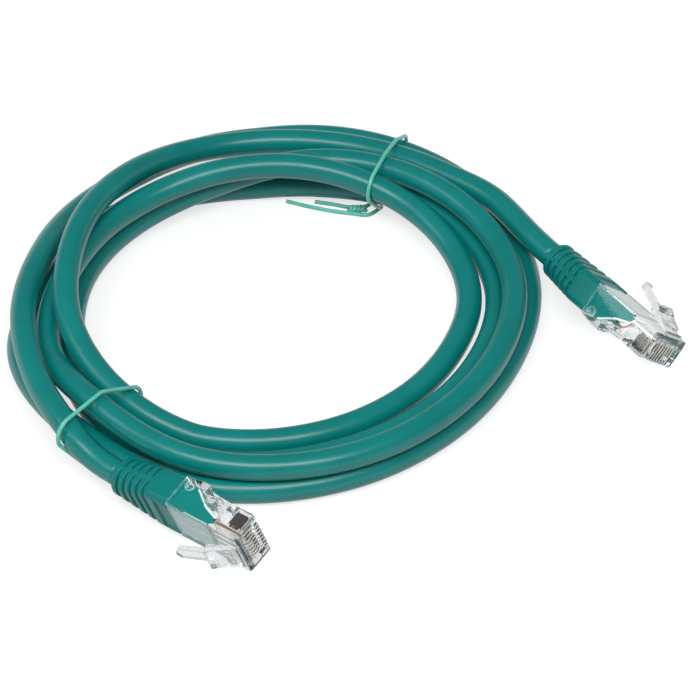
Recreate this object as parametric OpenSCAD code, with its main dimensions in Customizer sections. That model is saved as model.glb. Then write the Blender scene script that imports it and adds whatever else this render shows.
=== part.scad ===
// Ethernet patch cable: a round jacket laid in four and a half loose turns, held by two
// plastic-coated wire ties, with a booted 8P8C plug on each end.
// Plug frame: +X runs from the boot to the nose, +Z towards the latch, and the origin is
// where the cable's axis enters the housing. The whole part lies on the plane z = 0.

/* [Cable] */
// Outside diameter of the round jacket
jacket_od = 5.6; // [5.4:0.1:6]
// Thickness of the jacket's wall
jacket_wall = 0.45; // [0.4:0.05:0.5]
// Diameter of one insulated conductor
wire_d = 0.92; // [0.86:0.02:0.96]
// Diameter of the copper inside a conductor
copper_d = 0.5; // [0.4:0.02:0.6]

/* [Coil] */
// Radius of the innermost lane, to the cable's centre line
coil_r = 40; // [38:0.5:44]
// Free space between two strands that lie side by side
lay_gap = 0.55; // [0.5:0.05:0.8]

/* [Plug housing] */
// Width of the housing
plug_w = 11.68; // [11.5:0.02:11.8]
// Length of the housing from its rear to its nose
plug_len = 21.5; // [21:0.1:22.5]
// Height of the nose
nose_h = 6.6; // [6.4:0.05:6.8]
// Height of the housing at its rear
rear_h = 7.4; // [7.1:0.1:7.8]
// Height over the strain relief bump
bump_h = 8.05; // [7.9:0.05:8.4]
// Distance from the cable's axis up to the latch face
latch_face = 3.45; // [3.4:0.05:3.6]
// Free space between the outermost conductors and the side walls of the cavity
side_room = 0.17; // [0.12:0.01:0.3]
// Chamfer on the edges of the nose
nose_chamfer = 0.6; // [0.3:0.1:0.9]
// Distance between neighbouring conductors at the contacts
contact_pitch = 1.02; // [1:0.01:1.03]
// Height of the conductor channels above the cable's axis
channel_z = 1.55; // [1.4:0.05:1.7]

/* [Contacts] */
// Thickness of a contact blade
blade_t = 0.35; // [0.3:0.01:0.38]
// Length of a contact blade along the plug
blade_len = 3.3; // [3:0.1:3.5]
// Distance from the nose to the front of the blades
blade_setback = 1.6; // [1.4:0.1:2]
// Distance from the cable's axis down to the blade's crown
blade_crown = 2.6; // [2.5:0.05:2.8]
// Height of the piercing tines above the blade's back
tine_h = 1; // [0.8:0.1:1.1]

/* [Latch] */
// Width of the latch at its shoulders
latch_w = 6; // [5.5:0.1:6.4]
// Length from the latch's hinge to its shoulders
shoulder_len = 6.6; // [6:0.1:7.4]
// Length from the latch's hinge to the tip of its lever
lever_len = 13.9; // [13.4:0.1:15.6]
// Width of the lever
lever_w = 3.25; // [3:0.05:3.4]
// Thickness of the lever
lever_t = 1.25; // [1:0.05:1.4]
// Radius of the bead that the latch flexes on
bead_r = 0.45; // [0.35:0.05:0.5]
// Angle of latch A above its plug at rest
latch_rest_a = 21; // [17:1:26]
// Angle of latch B above its plug at rest
latch_rest_b = 19; // [17:1:26]

/* [Boot] */
// Length of the boot behind the housing
boot_tail = 16.2; // [15.6:0.1:17.6]
// Depth of the housing's tongue inside the boot
boot_lap = 1.9; // [1.4:0.1:2.3]
// Width of the boot's block
boot_w = 12; // [11.9:0.1:12.8]
// Height of the boot's block
boot_h = 7.8; // [7.8:0.1:8.6]
// Radius of the block's long edges
boot_edge_r = 1.6; // [1:0.1:2]
// Length of the ribbed taper
taper_len = 8.2; // [7.6:0.1:9]
// Diameter of the collar round the cable
collar_d = 8.2; // [7.8:0.1:8.8]
// Grooves across the taper
groove_count = 5; // [3:1:6]
// Width of one groove
groove_w = 0.8; // [0.5:0.05:0.9]
// Depth of the grooves
groove_depth = 0.8; // [0.5:0.05:0.9]
// Width of the spine that joins the ribs on each narrow side
spine_w = 1.1; // [0.8:0.1:1.6]
// Depth of the shallow recess under the lever's tip
recess_depth = 0.35; // [0.2:0.05:0.4]

/* [Ties] */
// Diameter of a coated tie wire
tie_d = 0.9; // [0.7:0.05:0.9]
// Free space between a tie and the strands that it holds
tie_gap = 0.45; // [0.35:0.05:0.5]

/* [Hidden] */
$fn = 48;
cut = 0.05;             // overrun of a cutting solid
fit = 0.05;             // clearance of a piece that slides into another
wire_fit = 0.04;        // clearance of a conductor in its channel
pierce_fit = 0.02;      // clearance of a blade in its slot and in the conductor
bead_fit = 0.1;         // clearance of the latch's bead in its cove
positions = 8;          // contacts in a plug

// Housing, in the plug frame
plug_side = plug_w / 2;
nose_z = latch_face - nose_h;
rear_z = latch_face - rear_h;
bump_z = latch_face - bump_h;
tongue_inset = 0.3;
cavity_w = (positions - 1) * contact_pitch + wire_d + 2 * side_room;
cavity_r = jacket_od / 2 + fit;
rear_wall = 0.6;        // thickness of the contact side's wall round the boot's filling
cavity_low = rear_z + rear_wall;
bar_x = plug_len - 14.2;
bar_len = 2;
bar_top = -1.9;
bar_w = 5.6;
window_margin = 0.5;
channel_d = wire_d + 2 * wire_fit;
channel_x = plug_len - 7.5;
channel_end = plug_len - 0.9;
funnel_gap = 1.3;       // from the strain bar to the start of the funnel
funnel_x = bar_x + bar_len + funnel_gap;
relief_x = channel_x + 0.2;
relief_len = 1.6;
relief_top = -1.6;
slot_w = blade_t + 2 * pierce_fit;
slot_x = plug_len - blade_setback - blade_len - 0.2;
slot_end = plug_len - blade_setback + 0.1;
comb_top = -1.9;

// Conductors, in the plug frame
bundle_row = 0.6 * wire_d;
bundle_r = jacket_od / 2 - jacket_wall - wire_d / 2 - pierce_fit;
bundle_pitch = sqrt(bundle_r ^ 2 - bundle_row ^ 2) / 3.5;
strip_x = plug_len - 15;
wire_x = plug_len - 14;
fan_x = plug_len - 12.5;
fan_mid = plug_len - 9.9;
fan_end = channel_x - 0.3;
wire_end = channel_end - 0.2;
jacket_low_x = plug_len - 12.9;
jacket_mid_x = plug_len - 12.5;
jacket_high_x = plug_len - 9;
roof_z = 1.15;

// Blades, in the plug frame
blade_corner_r = 0.5;
tine_sink = 0.15;       // from the conductor's axis down to the tips of the tines
tine_foot = 0.35;       // half of the notch between two tines, at its bottom
tine_tip = 0.7;         // half of the notch between two tines, at its mouth

// Latch, in the plug frame
hinge_x = plug_len - 0.8;
hinge_z = latch_face + bead_r + bead_fit;
cove_r = bead_r + bead_fit;
latch_root = 1.2;       // length of the thin root behind the bead
root_z = 0.6;           // heights of the latch's back, from the root to the shoulders
web_z = 1.1;
shoulder_z = 1.75;
shoulder_run = 2;       // length of the rise up to the shoulders

// Boot, in the plug frame
boot_z = (latch_face + rear_z) / 2 + 0.1;
taper_x = -boot_tail + 3.5;
block_x = taper_x + taper_len;
groove_pitch = taper_len / groove_count;
boot_bore_r = jacket_od / 2 + fit;
taper_step = 0.1;       // step from the block and the collar down to the taper
taper_seat = 0.2;       // how far the taper runs into the block and the collar
collar_edge_r = 0.8;
recess_len = 4;         // length of the recess under the lever's tip
fill_low_x = bar_x - window_margin - fit;
lug_x = 3.2;            // the lugs that lock the boot's filling, near the contact side
lug_r = 0.85;
lug_len = 1.2;
lug_z = cavity_low + 0.7;

// Plug places: [position of the plug frame's origin, its rotation]
PLUG_A = [[-37, -54.7, 7.6], [109, -5.3, -41.4]];
PLUG_B = [[52.5, 11.7, 7.7], [-41, 2.5, -53.6]];

// Coil. The turns are counted clockwise, seen from above, from the left tie. Each row is
// one turn, and its twelve stations are 30 degrees apart.
// A lane is a place outward from the innermost lane, and a layer a place up from the
// table, both in steps of one pitch.
coil_centre = [-19.3, 11.1];
coil_start = -135;
stations = 12;
rings = 24;
pitch = jacket_od + lay_gap;
table_z = 0.4 * jacket_od;
LANES = [
    [3.2, 2.3, 1.9, 2.7, 3.7, 4.0, 3.7, 3.0, 2.3, 2.2, 2.5, 2.8],
    [2.6, 2.5, 1.5, 1.6, 1.1, 1.1, 1.8, 1.8, 1.3, 1.1, 1.2, 1.6],
    [1.6, 0.6, 0.5, 0.6, 0.5, 1.3, 1.9, 2.2, 2.1, 2.2, 2.5, 2.5],
    [1.9, 1.5, 0.6, 0.4, 0.0, 0.2, 0.8, 0.8, 0.2, 0.0, 0.1, 0.4],
    [0.6, 0.7, 0.6, 1.2, 2.5, 2.7, 2.9]
];
LAYERS = [
    [1.2, 1.5, 1.2, 0.3, 0.0, 0.3, 0.3, 0.0, 0.0, 0.0, 0.0, 0.0],
    [0.3, 0.3, 0.0, 0.0, 0.0, 0.3, 0.3, 0.0, 0.0, 0.0, 0.0, 0.0],
    [0.3, 0.0, 0.2, 0.3, 0.9, 1.3, 1.3, 1.0, 1.1, 1.0, 1.0, 1.0],
    [1.3, 0.7, 1.3, 1.3, 1.8, 1.7, 0.9, 0.2, 0.0, 0.0, 0.0, 0.0],
    [0.7, 1.6, 2.3, 2.0, 1.0, 1.0, 1.1]
];
LAY = [for (r = [0:len(LANES) - 1], s = [0:len(LANES[r]) - 1]) [LANES[r][s], LAYERS[r][s]]];
coil_turns = (len(LAY) - 1) / stations;

// Ties: the turn at which each one crosses the coil, and its loose ends
tie_left_turn = -0.009;
tie_top_turn = 0.458;
tie_top_lean = -0.0006; // turns for each millimetre away from the middle of the lanes
band_middle = coil_r + 2 * pitch;
band_steps = 48;
under_left = 265;       // where each band starts under the bundle, and how far it tucks
tuck_left = 30;         // back under the outermost strand
under_top = 260;
tuck_top = 80;

// ---- Paths and tubes ----

function unit(v) = v / norm(v);

// Direction of a path at its point i
function heading(path, i) = unit(path[min(i + 1, len(path) - 1)] - path[max(i - 1, 0)]);

// Sideways direction at each point of a path that never stands upright
function level_sides(path) =
    [for (i = [0:len(path) - 1]) unit(cross([0, 0, 1], heading(path, i)))];

// Sideways direction carried along a path without twist
function carried_sides(path, first) = [
    for (i = 0, s = square_to(first, heading(path, 0)); i < len(path);
         i = i + 1, s = square_to(s, heading(path, min(i, len(path) - 1)))) s
];
function square_to(v, axis) = unit(v - (v * axis) * axis);

// Value between p[1] and p[2] of four evenly spaced values, on a smooth curve
function between(p, t) = p[1] + 0.5 * t * (p[2] - p[0]
    + t * (2 * p[0] - 5 * p[1] + 4 * p[2] - p[3]
    + t * (3 * (p[1] - p[2]) + p[3] - p[0])));

// Entry i of a list, carried on straight past its ends
function entry(list, i) = let (last = len(list) - 1)
    i < 0 ? 2 * list[0] - list[1]
    : i > last ? 2 * list[last] - list[last - 1]
    : list[i];

// Smooth curve from one point to another that leaves and arrives in given directions
function bend(from, leaving, to, arriving, steps) = let (reach = norm(to - from) / 3)
    [for (k = [0:steps]) let (t = k / steps, u = 1 - t)
        u ^ 3 * from + 3 * u ^ 2 * t * (from + reach * leaving)
        + 3 * u * t ^ 2 * (to - reach * arriving) + t ^ 3 * to];

// Rings of points round a path; none of them goes below the height low
function tube_points(path, d, sides, across, low) = [
    for (i = [0:len(path) - 1], k = [0:sides - 1])
        let (a = 360 * k / sides, h = heading(path, i), s = across[i],
             p = path[i] + d / 2 * (cos(a) * s + sin(a) * cross(h, s)))
        [p.x, p.y, max(p.z, low)]
];

// Triangles between the rings, seen from outside, on points numbered from first
function tube_walls(count, sides, first) = [
    for (i = [0:count - 2], k = [0:sides - 1])
        let (a = first + i * sides + k, b = first + i * sides + (k + 1) % sides)
        each [[a, b + sides, b], [a, a + sides, b + sides]]
];
function flipped(faces) = [for (f = faces) [f[0], f[2], f[1]]];

// Solid tube round a path; one that lies on the table is cut flat there
module tube(path, d, sides, across, low = 0) {
    foot = (len(path) - 1) * sides;
    start = [for (k = [1:sides - 2]) [0, k, k + 1]];
    end = [for (k = [1:sides - 2]) [foot, foot + k + 1, foot + k]];
    polyhedron(
        points = tube_points(path, d, sides, across, low),
        faces = concat(tube_walls(len(path), sides, 0), start, end));
}

// Hollow tube round a path, open at both ends
module sleeve(path, d, bore, sides, across, low) {
    inner = len(path) * sides;
    foot = inner - sides;
    rim = [for (k = [0:sides - 1]) let (n = (k + 1) % sides)
        each [[k, n, inner + n], [k, inner + n, inner + k]]];
    rim_end = [for (f = flipped(rim)) [for (p = f) p + foot]];
    polyhedron(
        points = concat(tube_points(path, d, sides, across, low),
            tube_points(path, bore, sides, across, low)),
        faces = concat(tube_walls(len(path), sides, 0), rim, rim_end,
            flipped(tube_walls(len(path), sides, inner))));
}

// ---- The coil ----

// Lane and layer of the cable at any turn
function lay(turn) = let (k = min(floor(turn * stations), len(LAY) - 2))
    between([for (j = [-1:2]) entry(LAY, k + j)], turn * stations - k);

// Distance from the coil's centre, and height, of the cable at any turn
function strand(turn) = let (q = lay(turn)) turn < 0 ? lead(-turn)
    : [coil_r + pitch * q[0], table_z + pitch * max(q[1], 0)];

// The same for the straight stretch before the coil's start, part of a turn away from it
function lead(part) = let (
    start = COIL[0],
    p = start + 2 * PI * part * norm([start.x - coil_centre.x, start.y - coil_centre.y]) * coil_head)
    [norm([p.x - coil_centre.x, p.y - coil_centre.y]), p.z];

// Point at a distance from the coil's centre, at the clock angle of a turn
function round_point(turn, across) = let (a = coil_start - 360 * turn)
    [coil_centre.x + across[0] * cos(a), coil_centre.y + across[0] * sin(a), across[1]];

function coil_point(turn) = round_point(turn, strand(turn));

COIL = [for (k = [0:coil_turns * rings]) coil_point(k / rings)];
coil_head = unit(COIL[0] - COIL[1]);
coil_foot = unit(COIL[len(COIL) - 1] - COIL[len(COIL) - 2]);

// Distance from point p to the stretch between a and b
function off_stretch(p, a, b) = let (t = ((p - a) * (b - a)) / ((b - a) * (b - a)))
    norm(p - a - min(max(t, 0), 1) * (b - a));

// Least free space between the coil's strands, measured point by point
function coil_gap() = let (last = len(COIL) - 1, apart = rings / 2)
    min([for (i = [0:last], j = [0:last - 1]) if (abs(i - j) > apart)
        min(off_stretch(COIL[i], COIL[j], COIL[j + 1]),
            off_stretch((COIL[i] + COIL[min(i + 1, last)]) / 2, COIL[j], COIL[j + 1]))])
    - jacket_od;

module cable_coil() {
    echo(coil_gap_mm = coil_gap());
    color("teal") tube(COIL, jacket_od, 6, level_sides(COIL));
}

// ---- The free stretches from the coil to the plugs ----

// Point and direction of a plug's own frame, in the part's frame
function turned(v, angles) = let (
    a = [v.x, v.y * cos(angles.x) - v.z * sin(angles.x), v.y * sin(angles.x) + v.z * cos(angles.x)],
    b = [a.x * cos(angles.y) + a.z * sin(angles.y), a.y, a.z * cos(angles.y) - a.x * sin(angles.y)])
    [b.x * cos(angles.z) - b.y * sin(angles.z), b.x * sin(angles.z) + b.y * cos(angles.z), b.z];
function plug_point(plug, p) = plug[0] + turned(p, plug[1]);

// Path from an end of the coil to the rear of a plug's jacket end, straight at both ends
function tail_path(from, leaving, plug, steps) = let (
    rear = plug_point(plug, [-boot_tail, 0, 0]),
    axis = turned([1, 0, 0], plug[1]),
    first = from + jacket_od * leaving,
    last = rear - jacket_od * axis)
    concat([from], bend(first, leaving, last, axis, steps), [rear]);

module cable_tail_a() {
    path = tail_path(COIL[0], coil_head, PLUG_A, 8);
    color("teal") tube(path, jacket_od, 12, level_sides(path));
}

module cable_tail_b() {
    path = tail_path(COIL[len(COIL) - 1], coil_foot, PLUG_B, 12);
    color("teal") tube(path, jacket_od, 12, level_sides(path));
}

// ---- The ties ----

// Centres of the strands that a tie at this turn goes round
function bundle(turn) = [for (k = [0:4]) if (turn + k <= coil_turns) strand(turn + k)];

// Distance and height of a tie where its outward side faces angle a: it lies on the strand
// that reaches furthest that way, and on the table where it passes underneath
function band_section(turn, a) = let (
    way = [cos(a), sin(a)],
    reach = [for (c = bundle(turn)) c * way],
    c = bundle(turn)[search(max(reach), reach)[0]],
    p = c + (jacket_od / 2 + tie_gap + tie_d / 2) * way)
    [p[0], max(p[1], tie_d / 2)];

// Place of a tie that leans by a part of a turn for each millimetre outward
function band_place(turn, lean, a) = let (
    there = turn + lean * (band_section(turn, a)[0] - band_middle))
    round_point(there, band_section(there, a));

// Band from angle a to angle b, counted anticlockwise in the section seen along the coil
function band(turn, lean, a, b) =
    [for (k = [0:band_steps]) band_place(turn, lean, a + (b - a) * k / band_steps)];

// Point of a tie's loose end, lying on the table
function on_table(p) = [p.x, p.y, tie_d / 2];

TIE_LEFT = concat(
    [for (p = [[-69.9, -14.7], [-66.8, -16.9], [-60.7, -22.2], [-53, -27.5]]) on_table(p)],
    band(tie_left_turn, 0, under_left, -tuck_left),
    [for (p = [[-55.6, -36.1], [-53.8, -36.9]]) on_table(p)]
);
TIE_TOP = concat(
    [for (p = [[-16.1, 54.9], [-10.9, 52.9], [-5.8, 51.3], [-1.3, 50.4], [2.4, 49.9]]) on_table(p)],
    band(tie_top_turn, tie_top_lean, under_top, -tuck_top),
    [for (p = [[2.6, 53.7], [-1.7, 52.7], [-5.3, 53.7], [-9.7, 54.7]]) on_table(p)]
);

module tie(path, d) {
    color("mediumaquamarine") tube(path, d, 8, carried_sides(path, [0, 0, 1]));
}

module tie_left() { tie(TIE_LEFT, tie_d); }
module tie_top() { tie(TIE_TOP, tie_d); }

// ---- The plug ----

module at_plug(plug) { translate(plug[0]) rotate(plug[1]) children(); }

// Outline in x and z, made solid across a width
module across(width) { rotate([90, 0, 0]) linear_extrude(width, center = true) children(); }

// Rectangle with true arcs at its corners, round the origin
module round_rect(w, h, r) {
    square([w - 2 * r, h], center = true);
    square([w, h - 2 * r], center = true);
    for (x = [-1, 1], y = [-1, 1]) translate([x * (w / 2 - r), y * (h / 2 - r)]) circle(r);
}

// Place of conductor or contact i across the plug
function lane_y(i) = (i - (positions + 1) / 2) * contact_pitch;

module housing_outline() {
    polygon([
        [0, rear_z + tongue_inset],
        [boot_lap, rear_z + tongue_inset],
        [boot_lap, rear_z - 0.1],
        [bar_x - 1, bump_z],
        [bar_x + 1, bump_z],
        [bar_x + bar_len, nose_z - 0.35],
        [channel_x, nose_z],
        [plug_len - nose_chamfer, nose_z],
        [plug_len, nose_z + nose_chamfer],
        [plug_len, latch_face - nose_chamfer],
        [plug_len - nose_chamfer, latch_face],
        [boot_lap, latch_face],
        [boot_lap, latch_face - tongue_inset],
        [0, latch_face - tongue_inset]
    ]);
}

// Outline of the housing seen along z: the tongue, the full width and the chamfered nose
module housing_plan() {
    tongue = plug_side - tongue_inset;
    polygon([
        [0, -tongue], [boot_lap, -tongue], [boot_lap, -plug_side],
        [plug_len - nose_chamfer, -plug_side], [plug_len, -plug_side + nose_chamfer],
        [plug_len, plug_side - nose_chamfer], [plug_len - nose_chamfer, plug_side],
        [boot_lap, plug_side], [boot_lap, tongue], [0, tongue]
    ]);
}

// Lip at the nose with the cove that the latch's bead turns in
module hinge_lip() {
    across(latch_w + 0.8) difference() {
        polygon([
            [hinge_x, latch_face - cut], [plug_len, latch_face - cut],
            [plug_len, hinge_z - 0.2], [plug_len - 0.3, hinge_z + 0.15], [hinge_x, hinge_z + 0.15]
        ]);
        translate([hinge_x, hinge_z]) circle(cove_r);
    }
}

// Room for the jacket, and the funnel that leads the conductors to their channels
module cable_cavity() {
    channel_r = channel_d / 2;
    across(cavity_w) polygon([
        [-cut, cavity_low], [fill_low_x + fit, cavity_low], [fill_low_x + fit, -cavity_r],
        [funnel_x, -cavity_r], [channel_x + cut, channel_z - channel_r - 0.7],
        [channel_x + cut, channel_z + channel_r + 0.1], [jacket_high_x + 0.2, cavity_r],
        [-cut, cavity_r]
    ]);
}

// Lugs on the inside of the two side walls, which the boot's filling locks round
module lugs(r, len) {
    for (side = [-1, 1]) translate([lug_x, side * (cavity_w / 2 + cut - len / 2), lug_z])
        rotate([90, 0, 0]) cylinder(r = r, h = len, center = true);
}

// Opening on the contact side that the strain bar is pressed in through
module window() {
    low = bump_z - 1;
    translate([bar_x - window_margin, -bar_w / 2 - window_margin, low])
        cube([bar_len + 2 * window_margin, bar_w + 2 * window_margin, -cavity_r + cut - low]);
    translate([relief_x, -cavity_w / 2, low]) cube([relief_len, cavity_w, relief_top - low]);
}

// Wedge that grips the jacket, joined to the housing at its front edge
module strain_bar() {
    hold_x = bar_x + bar_len + window_margin;
    across(bar_w) polygon([
        [bar_x, -cavity_r - 0.1], [bar_x + 0.5, bar_top], [bar_x + bar_len, bar_top],
        [hold_x + cut, -cavity_r - 0.2], [hold_x + cut, -cavity_r - 0.7],
        [bar_x + bar_len - 0.2, -cavity_r - 0.6], [bar_x + 0.3, -cavity_r - 0.5]
    ]);
}

// Channel of conductor i and the slots that its blade goes in and is reached through
module contact_way(i) {
    low = bump_z - 1;
    translate([channel_x, lane_y(i), channel_z]) rotate([0, 90, 0])
        cylinder(d = channel_d, h = channel_end - channel_x);
    translate([slot_x, lane_y(i) - slot_w / 2, low])
        cube([slot_end - slot_x, slot_w, channel_z - low]);
    translate([slot_end - cut, lane_y(i) - slot_w / 2, low])
        cube([plug_len - slot_end + 2 * cut, slot_w, comb_top - low]);
}

module housing() {
    color("lightcyan", 0.5) {
        difference() {
            union() {
                intersection() {
                    across(plug_w) housing_outline();
                    translate([0, 0, -2 * plug_w]) linear_extrude(4 * plug_w) housing_plan();
                }
                hinge_lip();
            }
            cable_cavity();
            window();
            for (i = [1:positions]) contact_way(i);
        }
        strain_bar();
        lugs(lug_r, lug_len);
    }
}

// Latch in its own frame: the bead on the origin, the lever towards -X, flat underneath
module latch_body() {
    rotate([90, 0, 0]) cylinder(r = bead_r, h = latch_w, center = true);
    across(latch_w) polygon([
        [0, -bead_r], [0, bead_r], [-latch_root, root_z], [-shoulder_len + shoulder_run, web_z],
        [-shoulder_len, shoulder_z], [-shoulder_len, -bead_r]
    ]);
    tip_x = -lever_len + lever_w / 2;
    translate([0, 0, -bead_r]) {
        translate([tip_x, -lever_w / 2, 0]) cube([lever_len - lever_w / 2 - 1, lever_w, lever_t]);
        translate([tip_x, 0, 0]) cylinder(d = lever_w, h = lever_t);
    }
}

module latch(rest_angle) {
    color("lightcyan", 0.5) translate([hinge_x, 0, hinge_z]) rotate([0, rest_angle, 0])
        latch_body();
}

// Middles of a blade's two tines along the plug
function tine_places() = let (front = plug_len - blade_setback)
    [front - 3 * blade_len / 4, front - blade_len / 4];

// Side view of a blade: rounded crown below, two piercing tines above
module blade_outline() {
    front = plug_len - blade_setback;
    back = channel_z - tine_sink;
    r = blade_corner_r;
    difference() {
        union() {
            translate([front - blade_len, -blade_crown + r]) square([blade_len, back + blade_crown - r]);
            translate([front - blade_len + r, -blade_crown]) square([blade_len - 2 * r, r]);
            for (x = [front - blade_len + r, front - r]) translate([x, -blade_crown + r]) circle(r);
        }
        for (x = [front - blade_len, front - blade_len / 2, front]) translate([x, back])
            polygon([
                [-tine_tip, cut], [-tine_tip, 0], [-tine_foot, -tine_h],
                [tine_foot, -tine_h], [tine_tip, 0], [tine_tip, cut]
            ]);
    }
}

module contact(i) {
    color("gold") translate([0, lane_y(i), 0]) across(blade_t) blade_outline();
}

// Start of conductor i inside the jacket: two rows, taken in turn
function bundle_place(i) = [
    (i - (positions + 1) / 2) * bundle_pitch, (i % 2 == 0 ? 1 : -1) * bundle_row
];

// Path of conductor i, out of the jacket and along its channel
function conductor_path(i) = let (
    from = bundle_place(i), ahead = [1, 0, 0], y = lane_y(i),
    fan = bend([fan_x, from[0], from[1]], ahead, [fan_mid, y, from[1]], ahead, 3),
    climb = bend([fan_mid, y, from[1]], ahead, [fan_end, y, channel_z], ahead, 3))
    concat([[wire_x, from[0], from[1]]], fan,
        [for (k = [1:3]) climb[k]], [[wire_end, y, channel_z]]);

// Room for the two tines of blade i in the conductor that they pierce
module tine_room(i) {
    room = blade_len / 2 - 2 * tine_foot - 0.3;
    for (x = tine_places()) translate([x - room / 2, lane_y(i) - slot_w / 2, 0])
        cube([room, slot_w, channel_z]);
}

CONDUCTOR_COLOURS = [
    "moccasin", "orange", "honeydew", "royalblue", "lightblue", "forestgreen", "linen", "sienna"
];

module conductor(i) {
    path = conductor_path(i);
    color(CONDUCTOR_COLOURS[i - 1]) difference() {
        sleeve(path, wire_d, copper_d, 8, level_sides(path), -plug_w);
        tine_room(i);
    }
}

module copper() {
    color("peru") for (i = [1:positions]) difference() {
        tube(conductor_path(i), copper_d - pierce_fit, 8, level_sides(conductor_path(i)), -plug_w);
        tine_room(i);
    }
}

// End of the jacket inside the boot and the housing, stripped on a slant
module jacket_end() {
    r = jacket_od / 2;
    color("teal") difference() {
        translate([-boot_tail, 0, 0]) rotate([0, 90, 0])
            cylinder(r = r, h = boot_tail + jacket_high_x);
        translate([strip_x, 0, 0]) rotate([0, 90, 0]) cylinder(r = r - jacket_wall, h = plug_len);
        across(2 * jacket_od) polygon([
            [jacket_low_x, -r - cut], [jacket_mid_x, roof_z], [jacket_high_x, r],
            [jacket_high_x, r + cut], [plug_len, r + cut], [plug_len, -r - cut]
        ]);
        translate([bar_x - fit, -r - cut, -r - cut])
            cube([plug_len, 2 * r + 2 * cut, bar_top + fit + r + cut]);
    }
}

// ---- The boot ----

// Cross-section of the boot as a thin slice at x: the block's, or the collar's
module block_slice(x, inset) {
    translate([x, 0, boot_z]) rotate([90, 0, 90]) linear_extrude(taper_seat)
        round_rect(boot_w - 2 * inset, boot_h - 2 * inset, boot_edge_r);
}
module collar_slice(x, inset) {
    translate([x, 0, 0]) rotate([0, 90, 0]) cylinder(d = collar_d - 2 * inset, h = taper_seat);
}
module taper(inset) {
    hull() {
        $fn = 32;
        block_slice(block_x, inset);
        collar_slice(taper_x - taper_seat, inset);
    }
}

// Collar round the cable, with a rounded rear edge
module collar() {
    r = collar_d / 2;
    rear = -boot_tail;
    rotate([0, 90, 0]) rotate_extrude() {
        translate([0, rear + collar_edge_r]) square([r, taper_x - rear - collar_edge_r]);
        translate([0, rear]) square([r - collar_edge_r, collar_edge_r]);
        translate([r - collar_edge_r, rear + collar_edge_r]) circle(collar_edge_r);
    }
}

// The ribbed taper's grooves, cut down to a core and left out at the two spines
module grooves() {
    difference() {
        for (k = [0:groove_count - 1])
            translate([taper_x + (k + 0.5) * groove_pitch - groove_w / 2, -boot_w, -boot_w])
                cube([groove_w, 2 * boot_w, 2 * boot_w]);
        taper(groove_depth);
        translate([taper_x - cut, -boot_w - cut, -spine_w / 2])
            cube([taper_len + 2 * cut, 2 * boot_w + 2 * cut, spine_w]);
    }
}

// Soft filling moulded into the housing round the jacket, up to a slanted front
module filling() {
    difference() {
        across(cavity_w - 2 * fit) polygon([
            [-2 * fit, cavity_low + fit], [fill_low_x, cavity_low + fit], [fill_low_x, -cavity_r + fit],
            [jacket_mid_x, roof_z], [jacket_high_x, cavity_r - fit], [-2 * fit, cavity_r - fit]
        ]);
        lugs(lug_r + fit, lug_len + fit);
    }
}

module boot() {
    pocket_w = plug_w - 2 * tongue_inset + 2 * fit;
    pocket_low = rear_z + tongue_inset - fit;
    pocket_high = latch_face - tongue_inset + fit;
    block_top = boot_z + boot_h / 2;
    color("teal") difference() {
        union() {
            difference() {
                union() {
                    translate([block_x, 0, boot_z]) rotate([90, 0, 90])
                        linear_extrude(boot_lap - block_x) round_rect(boot_w, boot_h, boot_edge_r);
                    taper(taper_step);
                    collar();
                }
                grooves();
                translate([-fit, -pocket_w / 2, pocket_low])
                    cube([boot_lap + fit + cut, pocket_w, pocket_high - pocket_low]);
                translate([boot_lap - recess_len, -boot_w / 2 + boot_edge_r, block_top - recess_depth])
                    cube([recess_len + cut, boot_w - 2 * boot_edge_r, recess_depth + cut]);
            }
            filling();
        }
        translate([-boot_tail - cut, 0, 0]) rotate([0, 90, 0])
            cylinder(r = boot_bore_r, h = boot_tail + plug_len);
    }
}

cable_coil();
cable_tail_a();
cable_tail_b();
tie_left();
tie_top();
at_plug(PLUG_A) housing();  // housing_a
at_plug(PLUG_B) housing();  // housing_b
at_plug(PLUG_A) latch(latch_rest_a);  // latch_a
at_plug(PLUG_B) latch(latch_rest_b);  // latch_b
at_plug(PLUG_A) boot();  // boot_a
at_plug(PLUG_B) boot();  // boot_b
at_plug(PLUG_A) jacket_end();  // jacket_end_a
at_plug(PLUG_B) jacket_end();  // jacket_end_b
at_plug(PLUG_A) copper();  // copper_a
at_plug(PLUG_B) copper();  // copper_b
for (i = [1:positions]) {
    at_plug(PLUG_A) contact(i);
    at_plug(PLUG_B) contact(i);
    at_plug(PLUG_A) conductor(i);
    at_plug(PLUG_B) conductor(i);
}
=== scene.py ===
import math

import bmesh
import bpy
import numpy as np
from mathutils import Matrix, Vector


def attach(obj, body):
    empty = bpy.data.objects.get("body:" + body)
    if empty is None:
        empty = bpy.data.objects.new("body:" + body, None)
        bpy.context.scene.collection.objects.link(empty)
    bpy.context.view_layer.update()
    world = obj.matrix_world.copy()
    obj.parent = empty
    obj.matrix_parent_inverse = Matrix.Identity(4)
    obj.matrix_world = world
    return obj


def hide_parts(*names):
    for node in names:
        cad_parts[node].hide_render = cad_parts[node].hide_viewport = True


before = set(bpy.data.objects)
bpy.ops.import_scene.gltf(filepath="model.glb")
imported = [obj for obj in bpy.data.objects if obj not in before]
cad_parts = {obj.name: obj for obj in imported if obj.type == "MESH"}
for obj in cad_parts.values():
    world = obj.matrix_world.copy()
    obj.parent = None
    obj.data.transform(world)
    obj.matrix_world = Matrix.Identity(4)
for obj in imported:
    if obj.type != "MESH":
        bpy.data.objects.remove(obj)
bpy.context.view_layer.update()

# The object's sizes and places are in millimetres up to the moment that a mesh is made.
# The camera, the floor and the lamps are in metres, as Blender is.
MM = 0.001

# ---- Driving dimensions, as in the part's source ----

JACKET_D = 5.6
FIT = 0.05              # clearance of a piece that slides into another

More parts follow.
